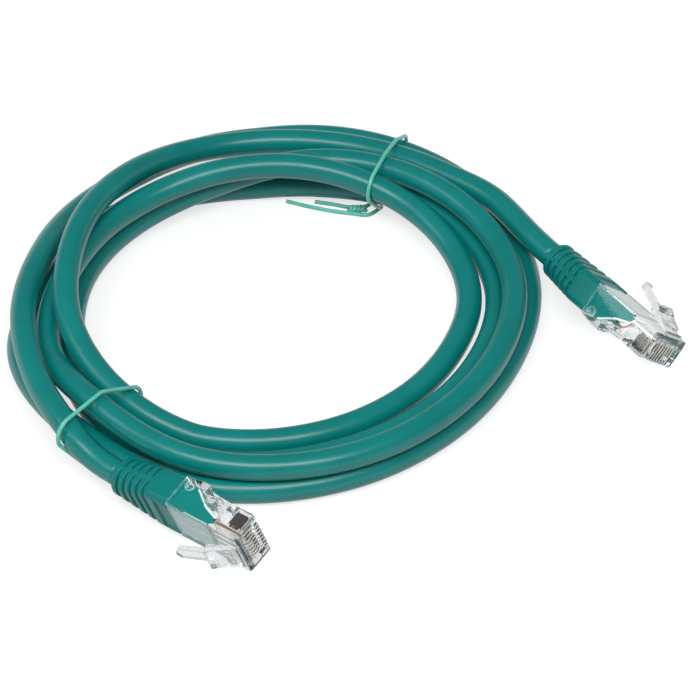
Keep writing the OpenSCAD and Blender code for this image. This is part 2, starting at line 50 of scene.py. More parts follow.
COIL_R = 40.0
LAY_GAP = 0.55
PITCH = JACKET_D + LAY_GAP
TABLE_Z = 0.4 * JACKET_D
COIL_CENTRE = (-19.3, 11.1)
COIL_START = -135.0
STATIONS = 12
RINGS = 24
# A lane is a place outward from the innermost lane, and a layer a place up from the
# table, both in steps of one pitch. Each row is one turn.
LANES = [
    [3.2, 2.3, 1.9, 2.7, 3.7, 4.0, 3.7, 3.0, 2.3, 2.2, 2.5, 2.8],
    [2.6, 2.5, 1.5, 1.6, 1.1, 1.1, 1.8, 1.8, 1.3, 1.1, 1.2, 1.6],
    [1.6, 0.6, 0.5, 0.6, 0.5, 1.3, 1.9, 2.2, 2.1, 2.2, 2.5, 2.5],
    [1.9, 1.5, 0.6, 0.4, 0.0, 0.2, 0.8, 0.8, 0.2, 0.0, 0.1, 0.4],
    [0.6, 0.7, 0.6, 1.2, 2.5, 2.7, 2.9],
]
LAYERS = [
    [1.2, 1.5, 1.2, 0.3, 0.0, 0.3, 0.3, 0.0, 0.0, 0.0, 0.0, 0.0],
    [0.3, 0.3, 0.0, 0.0, 0.0, 0.3, 0.3, 0.0, 0.0, 0.0, 0.0, 0.0],
    [0.3, 0.0, 0.2, 0.3, 0.9, 1.3, 1.3, 1.0, 1.1, 1.0, 1.0, 1.0],
    [1.3, 0.7, 1.3, 1.3, 1.8, 1.7, 0.9, 0.2, 0.0, 0.0, 0.0, 0.0],
    [0.7, 1.6, 2.3, 2.0, 1.0, 1.0, 1.1],
]

# Each plug's origin and rotation: +X runs from the boot to the nose, +Z to the latch
PLUGS = {
    "a": ((-37.0, -54.7, 7.6), (109.0, -5.3, -41.4)),
    "b": ((52.5, 11.7, 7.7), (-41.0, 2.5, -53.6)),
}
BOOT_TAIL = 16.2

TIE_D = 0.9
TIE_GAP = 0.45
TIE_LEFT_TURN = -0.009
TIE_TOP_TURN = 0.458
TIE_TOP_LEAN = -0.0006  # turns for each millimetre away from the middle of the lanes
MIDDLE_LANE = 2
BAND_STEPS = 48
UNDER_LEFT, TUCK_LEFT = 265, 30
UNDER_TOP, TUCK_TOP = 260, 80

# ---- Camera ----

CAMERA_TARGET = Vector((-1.8, 3.1, 0.0)) * MM
CAMERA_DISTANCE = 0.86
CAMERA_ELEVATION = math.radians(40.0)
CAMERA_FIELD = math.radians(10.06)


def add_object(name, data):
    obj = bpy.data.objects.new(name, data)
    bpy.context.scene.collection.objects.link(obj)
    return obj


def make_camera():
    data = bpy.data.cameras.new("camera")
    data.sensor_width = 36.0
    data.lens = data.sensor_width / (2 * math.tan(CAMERA_FIELD / 2))
    data.clip_start = 0.05
    data.clip_end = 20.0
    camera = add_object("camera", data)
    back = Vector((0.0, -math.cos(CAMERA_ELEVATION), math.sin(CAMERA_ELEVATION)))
    camera.location = CAMERA_TARGET + CAMERA_DISTANCE * back
    camera.rotation_euler = (-back).to_track_quat("-Z", "Y").to_euler()
    bpy.context.scene.camera = camera


make_camera()

# ---- Paths ----


def unit(v):
    v = np.asarray(v, float)
    return v / np.linalg.norm(v)


def turned(angles):
    """Matrix of a rotation about X, then Y, then Z, in degrees."""
    (sx, sy, sz), (cx, cy, cz) = (f(np.radians(angles)) for f in (np.sin, np.cos))
    about_x = np.array([[1, 0, 0], [0, cx, -sx], [0, sx, cx]])
    about_y = np.array([[cy, 0, sy], [0, 1, 0], [-sy, 0, cy]])
    about_z = np.array([[cz, -sz, 0], [sz, cz, 0], [0, 0, 1]])
    return about_z @ about_y @ about_x


def at_plug(which, points):
    """Points of a plug's own frame, in the part's frame."""
    origin, angles = PLUGS[which]
    return np.asarray(points, float) @ turned(angles).T + np.array(origin)


def between(p, t):
    """Value between p[1] and p[2] of four evenly spaced values, on a smooth curve."""
    a, b, c, d = (np.asarray(v, float) for v in p)
    return b + 0.5 * t * (c - a + t * (2 * a - 5 * b + 4 * c - d + t * (3 * (b - c) + d - a)))


def entry(values, i):
    """Entry i of a list, carried on straight past its ends."""
    if i < 0:
        return 2 * values[0] - values[1]
    if i >= len(values):
        return 2 * values[-1] - values[-2]
    return values[i]


def through(points, steps):
    """Smooth curve through a list of points."""
    points = [np.asarray(p, float) for p in points]
    curve = [
        between([entry(points, i + j) for j in (-1, 0, 1, 2)], k / steps)
        for i in range(len(points) - 1)
        for k in range(steps)
    ]
    return np.array(curve + [points[-1]])


LAY = [np.array(q) for lanes, layers in zip(LANES, LAYERS) for q in zip(lanes, layers)]
COIL_TURNS = (len(LAY) - 1) / STATIONS


def strand(turn):
    """Distance from the coil's centre, and height, of the cable at a turn."""
    if turn < 0:
        return lead(-turn)
    k = min(int(turn * STATIONS), len(LAY) - 2)
    lane, layer = between([entry(LAY, k + j) for j in (-1, 0, 1, 2)], turn * STATIONS - k)
    return np.array([COIL_R + PITCH * lane, TABLE_Z + PITCH * max(layer, 0.0)])


def round_point(turn, across):
    """Point at a turn of the coil, at a distance from its centre and a height."""
    a = math.radians(COIL_START - 360.0 * turn)
    x, y = COIL_CENTRE
    return np.array([x + across[0] * math.cos(a), y + across[0] * math.sin(a), across[1]])


def coil_point(turn):
    return round_point(turn, strand(turn))


def lead(part):
    """Distance from the coil's centre, and height, in the straight stretch before its start,
    part of a turn away from it."""
    start, second = coil_point(0), coil_point(1 / RINGS)
    centre = np.array(COIL_CENTRE)
    reach = np.linalg.norm(start[:2] - centre)
    p = start + 2 * math.pi * part * reach * unit(start - second)
    return np.array([np.linalg.norm(p[:2] - centre), p[2]])


def bend(start, leaving, end, arriving, steps):
    """Smooth curve that leaves and arrives in given directions."""
    reach = np.linalg.norm(end - start) / 3
    t = np.linspace(0, 1, steps + 1)[:, None]
    u = 1 - t
    return (
        u**3 * start
        + 3 * u**2 * t * (start + reach * leaving)
        + 3 * u * t**2 * (end - reach * arriving)
        + t**3 * end
    )


def tail(start, leaving, which, steps):
    """Free stretch from an end of the coil to the rear of a boot, straight at both ends."""
    rear = at_plug(which, [-BOOT_TAIL, 0, 0])
    axis = turned(PLUGS[which][1]) @ np.array([1.0, 0, 0])
    curve = bend(start + JACKET_D * leaving, leaving, rear - JACKET_D * axis, axis, steps)
    return np.vstack([[start], curve, [rear]])


def even(path, step):
    """The path with its points an even step apart."""
    along = np.concatenate([[0], np.cumsum(np.linalg.norm(np.diff(path, axis=0), axis=1))])
    at = np.linspace(0, along[-1], int(round(along[-1] / step)) + 1)
    return np.stack([np.interp(at, along, path[:, i]) for i in range(3)], axis=1)


def eased(path, passes):
    """The path with its small corners taken out, its ends left straight."""
    path = path.copy()
    for _ in range(passes):
        path[2:-2] += 0.5 * ((path[1:-3] + path[3:-1]) / 2 - path[2:-2])
    return path


COIL_STEPS = 144        # points of the smooth cable in one turn


def cable_path():
    """The cable's centre line, from the rear of boot A to the rear of boot B."""
    head = unit(coil_point(0) - coil_point(1 / RINGS))
    foot = unit(coil_point(COIL_TURNS) - coil_point(COIL_TURNS - 1 / RINGS))
    turns = np.arange(int(round(COIL_TURNS * COIL_STEPS)) + 1) / COIL_STEPS
    coil = np.array([coil_point(t) for t in turns])
    tail_a = tail(coil[0], head, "a", steps=30)[::-1]
    tail_b = tail(coil[-1], foot, "b", steps=40)
    path = eased(even(np.vstack([tail_a[:-1], coil, tail_b[1:]]), step=1.0), passes=30)
    path[:, 2] = np.maximum(path[:, 2], JACKET_D / 2)
    return eased(path, passes=4)


# ---- Meshes ----


def new_mesh(name, points, faces):
    mesh = bpy.data.meshes.new(name)
    mesh.from_pydata([tuple(p) for p in np.asarray(points) * MM], [], [tuple(f) for f in faces])
    return mesh


def piece(name, points, faces, material, smooth=True, second=None, seconds=()):
    """Object of a mesh; the faces numbered in seconds take the second material."""
    mesh = new_mesh(name, points, faces)
    mesh.polygons.foreach_set("use_smooth", [smooth] * len(mesh.polygons))
    mesh.materials.append(material)
    if second is not None:
        mesh.materials.append(second)
        for i in seconds:
            mesh.polygons[i].material_index = 1
    mesh.update()
    obj = add_object(name, mesh)
    return obj


def turn_outward(mesh):
    """Turn every face of a closed mesh outward."""
    form = bmesh.new()
    form.from_mesh(mesh)
    bmesh.ops.recalc_face_normals(form, faces=form.faces)
    form.to_mesh(mesh)
    form.free()


def applied(obj):
    """Take an object's modifiers into its mesh."""
    bpy.context.view_layer.update()
    mesh = bpy.data.meshes.new_from_object(obj.evaluated_get(bpy.context.evaluated_depsgraph_get()))
    obj.modifiers.clear()
    obj.data = mesh


def combine(obj, points, faces, operation, seconds=()):
    """Cut a closed form out of an object's mesh, or join it on. The form's numbered faces
    leave the second material."""
    mesh = new_mesh("tool", points, faces)
    turn_outward(mesh)
    for material in obj.data.materials:
        mesh.materials.append(material)
    for i in seconds:
        mesh.polygons[i].material_index = 1
    turn_outward(obj.data)
    tool = add_object("tool", mesh)
    step = obj.modifiers.new("combine", "BOOLEAN")
    step.operation = operation
    step.solver = "EXACT"
    step.object = tool
    applied(obj)
    bpy.data.objects.remove(tool)


def headings(path):
    ahead = np.vstack([path[1:], path[-1:]])
    behind = np.vstack([path[:1], path[:-1]])
    step = ahead - behind
    return step / np.linalg.norm(step, axis=1)[:, None]


def carried_sides(path):
    """Sideways direction carried along a path without twist."""
    sides, s = [], np.array([0.0, 0, 1])
    for h in headings(path):
        s = unit(s - (s @ h) * h)
        sides.append(s)
    return np.array(sides)


def walls(count, sides):
    """Quads between rings of points."""
    return [
        (i * sides + k, i * sides + (k + 1) % sides,
         (i + 1) * sides + (k + 1) % sides, (i + 1) * sides + k)
        for i in range(count - 1)
        for k in range(sides)
    ]


def closed(count, sides):
    """The faces of a tube: its walls, then the two faces that close it."""
    last = (count - 1) * sides
    return walls(count, sides) + [tuple(range(sides))[::-1], tuple(range(last, last + sides))]


def tube_points(path, radius, sides):
    """Rings of points round a path."""
    angles = np.radians(360.0 * np.arange(sides) / sides)
    ring = np.stack([np.cos(angles), np.sin(angles)], axis=1)
    across = carried_sides(path)
    up = np.cross(headings(path), across)
    return (
        path[:, None]
        + radius * (ring[None, :, :1] * across[:, None] + ring[None, :, 1:] * up[:, None])
    ).reshape(-1, 3)


def tube(name, path, radius, sides, material):
    return piece(name, tube_points(path, radius, sides), closed(len(path), sides), material)


def circle(middle, radius, sides):
    """Points of a circle, as pairs."""
    angles = 2 * math.pi * np.arange(sides) / sides
    return [(middle[0] + radius * math.cos(a), middle[1] + radius * math.sin(a)) for a in angles]


# ---- Materials ----

# How fine each kind of grain is, in waves per metre
PATCH = 90.0
SKIN = 2600.0
CLEAR_SKIN = 350.0
METAL_GRAIN = 900.0
FLANK_GRAIN = 1200.0
SKIN_DEPTH = 0.01 * MM
CLEAR_SKIN_DEPTH = 0.004 * MM
BEVEL_SAMPLES = 6
EDGE_ROUND = 0.12 * MM      # radius that a clear piece's edges seem to have
PAINTED_LINE_REACH = 0.16 * MM     # how far the painted edge lines reach from an edge
PAINTED_LINE_LEVEL = 0.8
# Cosines between a face and its rounded edge: no painted edge line at the first, the most at the
# second
FLAT, SHARP = 0.995, 0.9
# Grey painted on the clear plastic's edges: painted light and shade in place of the edges'
# refraction and reflection; the latch's is darker, painted shade
PAINTED_EDGE_LINES = (0.5, 0.53, 0.54)
DARK_PAINTED_EDGE_LINES = (0.26, 0.28, 0.29)
SHADOW_TINT = (0.9, 0.94, 0.94)


def new_material(name):
    m = bpy.data.materials.new(name)
    m.use_nodes = True
    return m, m.node_tree.nodes, m.node_tree.links


def colour(r, g, b):
    """Linear colour of an sRGB colour of 0 to 255."""
    return [c / 255 / 12.92 if c <= 10 else ((c / 255 + 0.055) / 1.055) ** 2.4 for c in (r, g, b)]


def grain(nodes, links, scale):
    """Soft noise on the object's own coordinates."""
    place = nodes.new("ShaderNodeTexCoord")
    noise = nodes.new("ShaderNodeTexNoise")
    noise.inputs["Scale"].default_value = scale
    noise.inputs["Detail"].default_value = 3.0
    links.new(place.outputs["Object"], noise.inputs["Vector"])
    return noise.outputs["Fac"]


def ramp(nodes, links, fac, stops):
    r = nodes.new("ShaderNodeValToRGB")
    links.new(fac, r.inputs["Fac"])
    while len(r.color_ramp.elements) < len(stops):
        r.color_ramp.elements.new(0.5)
    for e, (place, c) in zip(r.color_ramp.elements, stops):
        e.position = place
        e.color = (*c, 1.0)
    return r.outputs["Color"]


def mottled(nodes, links, scale, dark, light, reach):
    """Patches of a dark and a light colour; each is full at reach from the noise's middle."""
    stops = [(0.5 - reach, dark), (0.5 + reach, light)]
    return ramp(nodes, links, grain(nodes, links, scale), stops)


def spread_over(nodes, links, value, low, high):
    """A number that runs from low to high as the value runs from 0 to 1."""
    step = nodes.new("ShaderNodeMapRange")
    step.inputs["To Min"].default_value = low
    step.inputs["To Max"].default_value = high
    links.new(value, step.inputs["Value"])
    return step.outputs["Result"]


def rounded_normal(nodes, radius):
    """The surface's direction, on edges rounded off by a radius."""
    rounded = nodes.new("ShaderNodeBevel")
    rounded.samples = BEVEL_SAMPLES
    rounded.inputs["Radius"].default_value = radius
    return rounded.outputs["Normal"]


def bump(nodes, links, shader, fac, distance, strength, edge=0.0):
    """Fine relief, on edges rounded off by a radius where one is given."""
    b = nodes.new("ShaderNodeBump")
    if edge:
        links.new(rounded_normal(nodes, edge), b.inputs["Normal"])
    b.inputs["Distance"].default_value = distance
    b.inputs["Strength"].default_value = strength
    links.new(fac, b.inputs["Height"])
    links.new(b.outputs["Normal"], shader.inputs["Normal"])


def plastic(name, dark, light, roughness, spread, patch=PATCH, sheen=0.5):
    """Moulded or extruded plastic: soft colour patches, uneven gloss and a fine skin."""
    m, nodes, links = new_material(name)
    shader = nodes["Principled BSDF"]
    shader.inputs["Specular IOR Level"].default_value = sheen
    links.new(mottled(nodes, links, patch, dark, light, reach=0.15), shader.inputs["Base Color"])
    gloss = spread_over(nodes, links, grain(nodes, links, 3 * patch),
                        roughness - spread, roughness + spread)
    links.new(gloss, shader.inputs["Roughness"])
    bump(nodes, links, shader, grain(nodes, links, SKIN), distance=SKIN_DEPTH, strength=0.6)
    return m


def clear_plastic(name, tint, painted_lines, ior=1.5, painted_haze=0.0):
    """Clear plastic whose edges carry painted grey lines, standing in for the light and shade that
    refraction and reflection give them, and which casts only a faint shadow."""
    m, nodes, links = new_material(name)
    shader = nodes["Principled BSDF"]
    shader.inputs["Base Color"].default_value = (*tint, 1)
    shader.inputs["Transmission Weight"].default_value = 1.0
    shader.inputs["IOR"].default_value = ior
    shader.inputs["Roughness"].default_value = 0.02
    bump(nodes, links, shader, grain(nodes, links, CLEAR_SKIN), distance=CLEAR_SKIN_DEPTH,
         strength=0.3, edge=EDGE_ROUND)
    painted_edge = nodes.new("ShaderNodeBsdfPrincipled")
    painted_edge.inputs["Base Color"].default_value = (*painted_lines, 1)
    painted_edge.inputs["Roughness"].default_value = 0.35
    shape = nodes.new("ShaderNodeNewGeometry")
    flat = nodes.new("ShaderNodeVectorMath")
    flat.operation = "DOT_PRODUCT"
    links.new(rounded_normal(nodes, PAINTED_LINE_REACH), flat.inputs[0])
    links.new(shape.outputs["True Normal"], flat.inputs[1])
    edge = nodes.new("ShaderNodeMapRange")
    edge.inputs["From Min"].default_value = FLAT
    edge.inputs["From Max"].default_value = SHARP
    edge.inputs["To Min"].default_value = painted_haze
    edge.inputs["To Max"].default_value = PAINTED_LINE_LEVEL
    links.new(flat.outputs["Value"], edge.inputs["Value"])
    body = nodes.new("ShaderNodeMixShader")
    links.new(edge.outputs["Result"], body.inputs["Fac"])
    links.new(shader.outputs["BSDF"], body.inputs[1])
    links.new(painted_edge.outputs["BSDF"], body.inputs[2])
    rays = nodes.new("ShaderNodeLightPath")
    clear = nodes.new("ShaderNodeBsdfTransparent")
    clear.inputs["Color"].default_value = (*SHADOW_TINT, 1)
    mix = nodes.new("ShaderNodeMixShader")
    links.new(rays.outputs["Is Shadow Ray"], mix.inputs["Fac"])
    links.new(body.outputs["Shader"], mix.inputs[1])
    links.new(clear.outputs["BSDF"], mix.inputs[2])
    links.new(mix.outputs["Shader"], nodes["Material Output"].inputs["Surface"])
    return m


def metal(name, dark, light, roughness):
    m, nodes, links = new_material(name)
    shader = nodes["Principled BSDF"]
    shader.inputs["Metallic"].default_value = 1.0
    shader.inputs["Roughness"].default_value = roughness
    links.new(mottled(nodes, links, METAL_GRAIN, dark, light, reach=0.2),
              shader.inputs["Base Color"])
    return m


def blade_metal(name, which):
    """Gold on a blade's edges; its two flanks are painted near black, a painted dark reflection."""
    m, nodes, links = new_material(name)
    shader = nodes["Principled BSDF"]
    shader.inputs["Specular IOR Level"].default_value = 0.2
    facing = nodes.new("ShaderNodeVectorMath")
    facing.operation = "DOT_PRODUCT"
    facing.inputs[1].default_value = tuple(turned(PLUGS[which][1])[:, 1])
    shape = nodes.new("ShaderNodeNewGeometry")
    links.new(shape.outputs["True Normal"], facing.inputs[0])
    flank = nodes.new("ShaderNodeMath")
    flank.operation = "ABSOLUTE"
    links.new(facing.outputs["Value"], flank.inputs[0])
    gold = mottled(nodes, links, METAL_GRAIN, (0.82, 0.66, 0.44), (0.92, 0.79, 0.6), reach=0.2)
    # Near black painted on the flanks: a painted dark reflection, not the bare metal's own colour
    painted_dark_reflection = mottled(nodes, links, FLANK_GRAIN, (0.012, 0.009, 0.007), (0.025, 0.02, 0.016),
                     reach=0.2)
    mix = nodes.new("ShaderNodeMix")
    mix.data_type = "RGBA"
    links.new(flank.outputs["Value"], mix.inputs["Factor"])
    links.new(gold, mix.inputs["A"])
    links.new(painted_dark_reflection, mix.inputs["B"])
    links.new(mix.outputs["Result"], shader.inputs["Base Color"])
    links.new(spread_over(nodes, links, flank.outputs["Value"], 1.0, 0.0),
              shader.inputs["Metallic"])
    links.new(spread_over(nodes, links, flank.outputs["Value"], 0.3, 0.75),
              shader.inputs["Roughness"])
    return m


JACKET = plastic("jacket_pvc", colour(0, 129, 125), colour(4, 137, 133), 0.3, 0.03)
BOOT = plastic("boot_pvc", colour(0, 125, 120), colour(0, 132, 127), 0.4, 0.04, patch=160.0,
               sheen=0.3)
FILL = plastic("boot_filling", colour(0, 115, 110), colour(0, 121, 116), 0.45, 0.04, patch=160.0,
               sheen=0.1)
# Pale colour on the filling's rims and round the lugs' holes: a painted highlight of the light that
# the clear housing's cavity walls catch
PAINTED_RIM_HIGHLIGHT = plastic("filling_edge_painted_highlight", colour(205, 228, 226), colour(222, 238, 236), 0.25, 0.05,
                patch=300.0)
# Paler teal on the boot's front face at the housing: painted light on a face that lies in shade
PAINTED_LIT_FRONT = plastic("boot_front_painted_light", colour(70, 165, 160), colour(90, 180, 174), 0.3, 0.05, patch=300.0)
TIE = plastic("tie_coat", colour(92, 205, 182), colour(116, 216, 196), 0.3, 0.04, patch=300.0)
CLEAR = clear_plastic("clear_polycarbonate", (0.96, 0.98, 0.98), PAINTED_EDGE_LINES)
# The latch also carries a little painted shade over all its faces, so that its lever shows grey
LATCH = clear_plastic("latch_polycarbonate", (0.92, 0.93, 0.94), DARK_PAINTED_EDGE_LINES, ior=1.35, painted_haze=0.08)
BLADES = {which: blade_metal("blades_" + which, which) for which in PLUGS}
COPPER = metal("drawn_copper", (0.7, 0.3, 0.16), (0.82, 0.42, 0.25), 0.3)

PAIR_COLOURS = {
    "orange": colour(215, 110, 35),
    "blue": colour(35, 80, 165),
    "green": colour(30, 125, 70),
    "brown": colour(104, 62, 38),
}
WIRES = {
    "wire_" + pair: plastic("wire_" + pair, c, [1.15 * v for v in c], 0.35, 0.05, patch=400.0)
    for pair, c in PAIR_COLOURS.items()
}
WHITE_WIRE = plastic("wire_white", colour(216, 212, 200), colour(232, 228, 218), 0.35, 0.05,
                     patch=400.0)
STRIPES = {}
for pair in PAIR_COLOURS:
    WIRES["wire_white_" + pair] = WHITE_WIRE
    STRIPES["wire_white_" + pair] = WIRES["wire_" + pair]

# ---- The cord ----

CABLE = cable_path()
CABLE_SIDES = 28


def make_cable():
    cable = tube("cable", CABLE, JACKET_D / 2, CABLE_SIDES, JACKET)
    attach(cable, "cable")
    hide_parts("cable_coil", "cable_tail_a", "cable_tail_b")


make_cable()

# ---- The ties ----

TIE_SIDES = 14
# The loose ends of each tie on the table: where its band starts, and where it comes out
LEFT_START = [[-69.9, -14.7], [-66.8, -16.9], [-60.7, -22.2], [-53, -27.5]]
LEFT_END = [[-55.6, -36.1], [-53.8, -36.9]]
TOP_START = [[-16.1, 54.9], [-10.9, 52.9], [-5.8, 51.3], [-1.3, 50.4], [2.4, 49.9]]
TOP_END = [[2.6, 53.7], [-1.7, 52.7], [-5.3, 53.7], [-9.7, 54.7]]
TWIST_START, TWIST_END = np.array([1.8, 51.6, 0.95]), np.array([-2.2, 51.4, 0.95])
TWIST_TURNS, TWIST_STEPS, TWIST_R = 2.25, 60, 0.5


def bundle(turn):
    """The strands that lie side by side at a turn."""
    return [strand(turn + k) for k in range(len(LANES)) if turn + k <= COIL_TURNS]


def band_section(turn, angle):
    """Place of a tie outside the strand that reaches furthest at an angle."""
    way = np.array([math.cos(math.radians(angle)), math.sin(math.radians(angle))])
    c = max(bundle(turn), key=lambda q: q @ way)
    p = c + (JACKET_D / 2 + TIE_GAP + TIE_D / 2) * way
    return [p[0], max(p[1], TIE_D / 2)]


def band_place(turn, lean, angle):
    there = turn + lean * (band_section(turn, angle)[0] - COIL_R - MIDDLE_LANE * PITCH)
    return round_point(there, band_section(there, angle))


def band(turn, lean, a, b):
    """The stretch of a tie that goes round the bundle, from one angle to another."""
    return [band_place(turn, lean, a + (b - a) * k / BAND_STEPS) for k in range(BAND_STEPS + 1)]


def make_tie(name, start, around, end):
    """A wire from its start on the table, round the bundle, to its end on the table."""
    on_table = [[[x, y, TIE_D / 2] for x, y in points] for points in (start, end)]
    route = through(on_table[0] + around + on_table[1], steps=4)
    path = even(eased(even(route, step=0.3), passes=6), step=0.4)
    tie = tube(name + "_wire", path, TIE_D / 2, TIE_SIDES, TIE)
    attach(tie, "cable")
    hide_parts(name)


def make_twist():
    """The two ends of the top tie wound round each other where they meet."""
    way = TWIST_END - TWIST_START
    side = unit(np.cross(unit(way), (0, 0, 1)))
    t = np.linspace(0, 1, TWIST_STEPS + 1)
    points, faces = [], []
    for phase in (0.0, math.pi):
        a = phase + 2 * math.pi * TWIST_TURNS * t
        path = (TWIST_START + np.outer(t, way) + TWIST_R * np.outer(np.cos(a), side)
                + TWIST_R * np.outer(np.sin(a), (0, 0, 1)))
        foot = len(points)
        points += tube_points(path, TIE_D / 2, TIE_SIDES).tolist()
        faces += [tuple(foot + v for v in f) for f in closed(len(path), TIE_SIDES)]
    twist = piece("tie_top_twist", points, faces, TIE)
    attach(twist, "cable")


make_tie("tie_left", LEFT_START, band(TIE_LEFT_TURN, 0, UNDER_LEFT, -TUCK_LEFT), LEFT_END)
make_tie("tie_top", TOP_START, band(TIE_TOP_TURN, TIE_TOP_LEAN, UNDER_TOP, -TUCK_TOP), TOP_END)
make_twist()

# ---- The boots, in the plug's frame ----

# The rear rim and the grooved taper were fitted to the photo after the solids were settled.
BOOT_W, BOOT_H, BOOT_EDGE = 12.0, 7.8, 1.6
BOOT_Z = -0.15          # middle of the block, under the cable's axis
BOOT_SIDES = 96
BOOT_REAR, BOOT_FRONT = -15.4, 1.9
TAPER_X, BLOCK_X = -14.4, -3.7
COLLAR_D = 8.2
COLLAR_EDGE, COLLAR_STEPS = 0.8, 6
GROOVES, GROOVE_W, GROOVE_DEPTH = 5, 0.95, 0.85
# One side of a groove, from its mouth in: how far from its middle, and the share of its depth
GROOVE_SIDE = [(0.55, 0.0), (0.45, 0.04), (0.38, 0.2), (0.34, 0.7), (0.26, 1.0)]
PROFILE_W = 0.76        # width of a groove in the numbers of GROOVE_SIDE
SPINE_W = 1.1
# The recess in the top, behind the lever's tip, with a deeper slot across its rear
RECESS_X, RECESS_DEPTH, SLOT_W, SLOT_DEPTH = -2.1, 0.35, 0.35, 0.9
STEP_NEAR, STEP_FAR = 0.02, 0.2     # how far the boot's sections keep from a step in its top
BLOCK_LEAD = 0.3        # from the end of the taper to the block's first section
# The rounding of the front rim: how far behind the front, and how deep
FRONT_EDGE = [(0.25, 0.0), (0.08, 0.06), (0.0, 0.22)]


def ray_to_round_rect(c, s, half_w, half_h, r):
    """Distance from the middle of a rounded rectangle to its outline, in the direction (c, s)."""
    c, s = abs(c), abs(s)
    reach = min(half_w / c if c > 1e-9 else 1e9, half_h / s if s > 1e-9 else 1e9)
    cx, cy = half_w - r, half_h - r
    if reach * c > cx and reach * s > cy:
        along = c * cx + s * cy
        reach = along + math.sqrt(max(r * r - (cx * cx + cy * cy - along * along), 0))
    return reach


def boot_ring(x, inset):
    """Cross-section of the boot at x: a round collar that turns into a rounded block. It is
    sunk by the inset but on the spines, which join the ribs on the two narrow sides."""
    t = float(np.clip((x - TAPER_X) / (BLOCK_X - TAPER_X), 0, 1))
    half_w = (COLLAR_D + t * (BOOT_W - COLLAR_D)) / 2
    half_h = (COLLAR_D + t * (BOOT_H - COLLAR_D)) / 2
    r = COLLAR_D / 2 + t * (BOOT_EDGE - COLLAR_D / 2)
    r = min(r, half_w, half_h)
    ring = []
    for k in range(BOOT_SIDES):
        a = 2 * math.pi * k / BOOT_SIDES
        c, s = math.cos(a), math.sin(a)
        reach = ray_to_round_rect(c, s, half_w, half_h, r)
        depth = inset if abs(reach * s) > SPINE_W / 2 else 0.0
        y, z = (reach - depth) * c, (reach - depth) * s
        if x > RECESS_X and abs(y) < half_w - r:
            z = min(z, half_h - (SLOT_DEPTH if x < RECESS_X + SLOT_W else RECESS_DEPTH))
        ring.append([x, y, t * BOOT_Z + z])
    return ring


def boot_stations():
    """Places along the boot and how deep its surface is sunk there."""
    rows = []
    for k in range(COLLAR_STEPS + 1):
        a = math.pi / 2 * k / COLLAR_STEPS
        rows.append((BOOT_REAR + COLLAR_EDGE - COLLAR_EDGE * math.cos(a),
                     COLLAR_EDGE - COLLAR_EDGE * math.sin(a)))
    pitch = (BLOCK_X - TAPER_X) / GROOVES
    groove = [(-off, sunk) for off, sunk in GROOVE_SIDE] + GROOVE_SIDE[::-1]
    for k in range(GROOVES):
        x = TAPER_X + (k + 0.5) * pitch
        rows += [(x + off * GROOVE_W / PROFILE_W, sunk * GROOVE_DEPTH) for off, sunk in groove]
    slot_end = RECESS_X + SLOT_W
    flat = [BLOCK_X + BLOCK_LEAD, RECESS_X - STEP_FAR, RECESS_X - STEP_NEAR, RECESS_X + STEP_NEAR,
            slot_end - STEP_NEAR, slot_end + STEP_NEAR, slot_end + STEP_FAR, 0.0]
    rows += [(x, 0.0) for x in flat]
    return rows + [(BOOT_FRONT - back, sunk) for back, sunk in FRONT_EDGE]


def make_boot(which):
    """The boot's skin with its bore; its front face, at the housing, is painted pale: painted light
    on a face that lies in shade.
    """
    rows = boot_stations()
    points = np.array([boot_ring(x, sunk) for x, sunk in rows]).reshape(-1, 3)
    bore = [[x, y, z] for x in (BOOT_REAR, BOOT_FRONT)
            for y, z in circle((0, 0), JACKET_D / 2 + FIT, BOOT_SIDES)]
    ring = [(k, (k + 1) % BOOT_SIDES) for k in range(BOOT_SIDES)]
    inner = len(points)
    last, inner_last = inner - BOOT_SIDES, inner + BOOT_SIDES
    outside = walls(len(rows), BOOT_SIDES)
    rear = [(k, inner + k, inner + n, n) for k, n in ring]
    front = [(last + k, last + n, inner_last + n, inner_last + k) for k, n in ring]
    tunnel = [(inner + k, inner_last + k, inner_last + n, inner + n) for k, n in ring]
    # The front faces take the painted light
    lit_front = range(len(outside + rear), len(outside + rear + front))
    boot = piece("boot_" + which + "_skin", at_plug(which, np.vstack([points, bore])),
                 outside + rear + front + tunnel, BOOT, second=PAINTED_LIT_FRONT, seconds=lit_front)
    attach(boot, "cable")
    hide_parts("boot_" + which)


# ---- The boots' fillings inside the housings, in the plug's frame ----

FILL_SIDE, FILL_LOW, FILL_TOP = 4.22, -3.3, 2.78
FILL_STEPS = 24
FILL_GAP = 0.02         # between the filling and the jacket
# The filling's underside, as x and z
FILL_OUTLINE = [(1.7, FILL_LOW), (5.4, FILL_LOW), (5.6, FILL_LOW + 0.1), (6.3, -2.85),
                (7.3, -2.1), (8.2, -1.45), (9.1, -0.95)]
PAINTED_HIGHLIGHT_FROM = 2           # the first stretch of the outline whose edge is painted pale, a painted highlight
# The underside and the top of the filling's front block, as x and z
FRONT_LOW = [(9.0, -1.0), (10.0, -0.55), (11.4, -0.05), (12.8, 0.4), (13.5, 0.72), (13.7, 1.05)]
FRONT_TOP = [(13.7, 2.1), (12.7, 2.72), (9.0, 2.72)]
RIM = 0.5               # width of the rim painted pale on the front block's flanks, a painted highlight
# The room that the filling leaves for the strain relief bar and for the two lugs that lock it
BAR_X, BAR_TOP, BAR_SIDE = 7.2, -1.85, 2.85
LUG_X, LUG_Z, LUG_R, LUG_LEN = 3.4, -2.85, 1.25, 1.2
LUG_SIDES = 32
OVERRUN = 1             # how far a cutting form reaches past what it cuts


def fill_inside(x, z):
    """How far out the filling starts: round the jacket, and clear of the strain bar."""
    if x > BAR_X and z < BAR_TOP:
        return BAR_SIDE
    return math.sqrt(max(JACKET_D**2 / 4 - z * z, 0.0)) + FILL_GAP


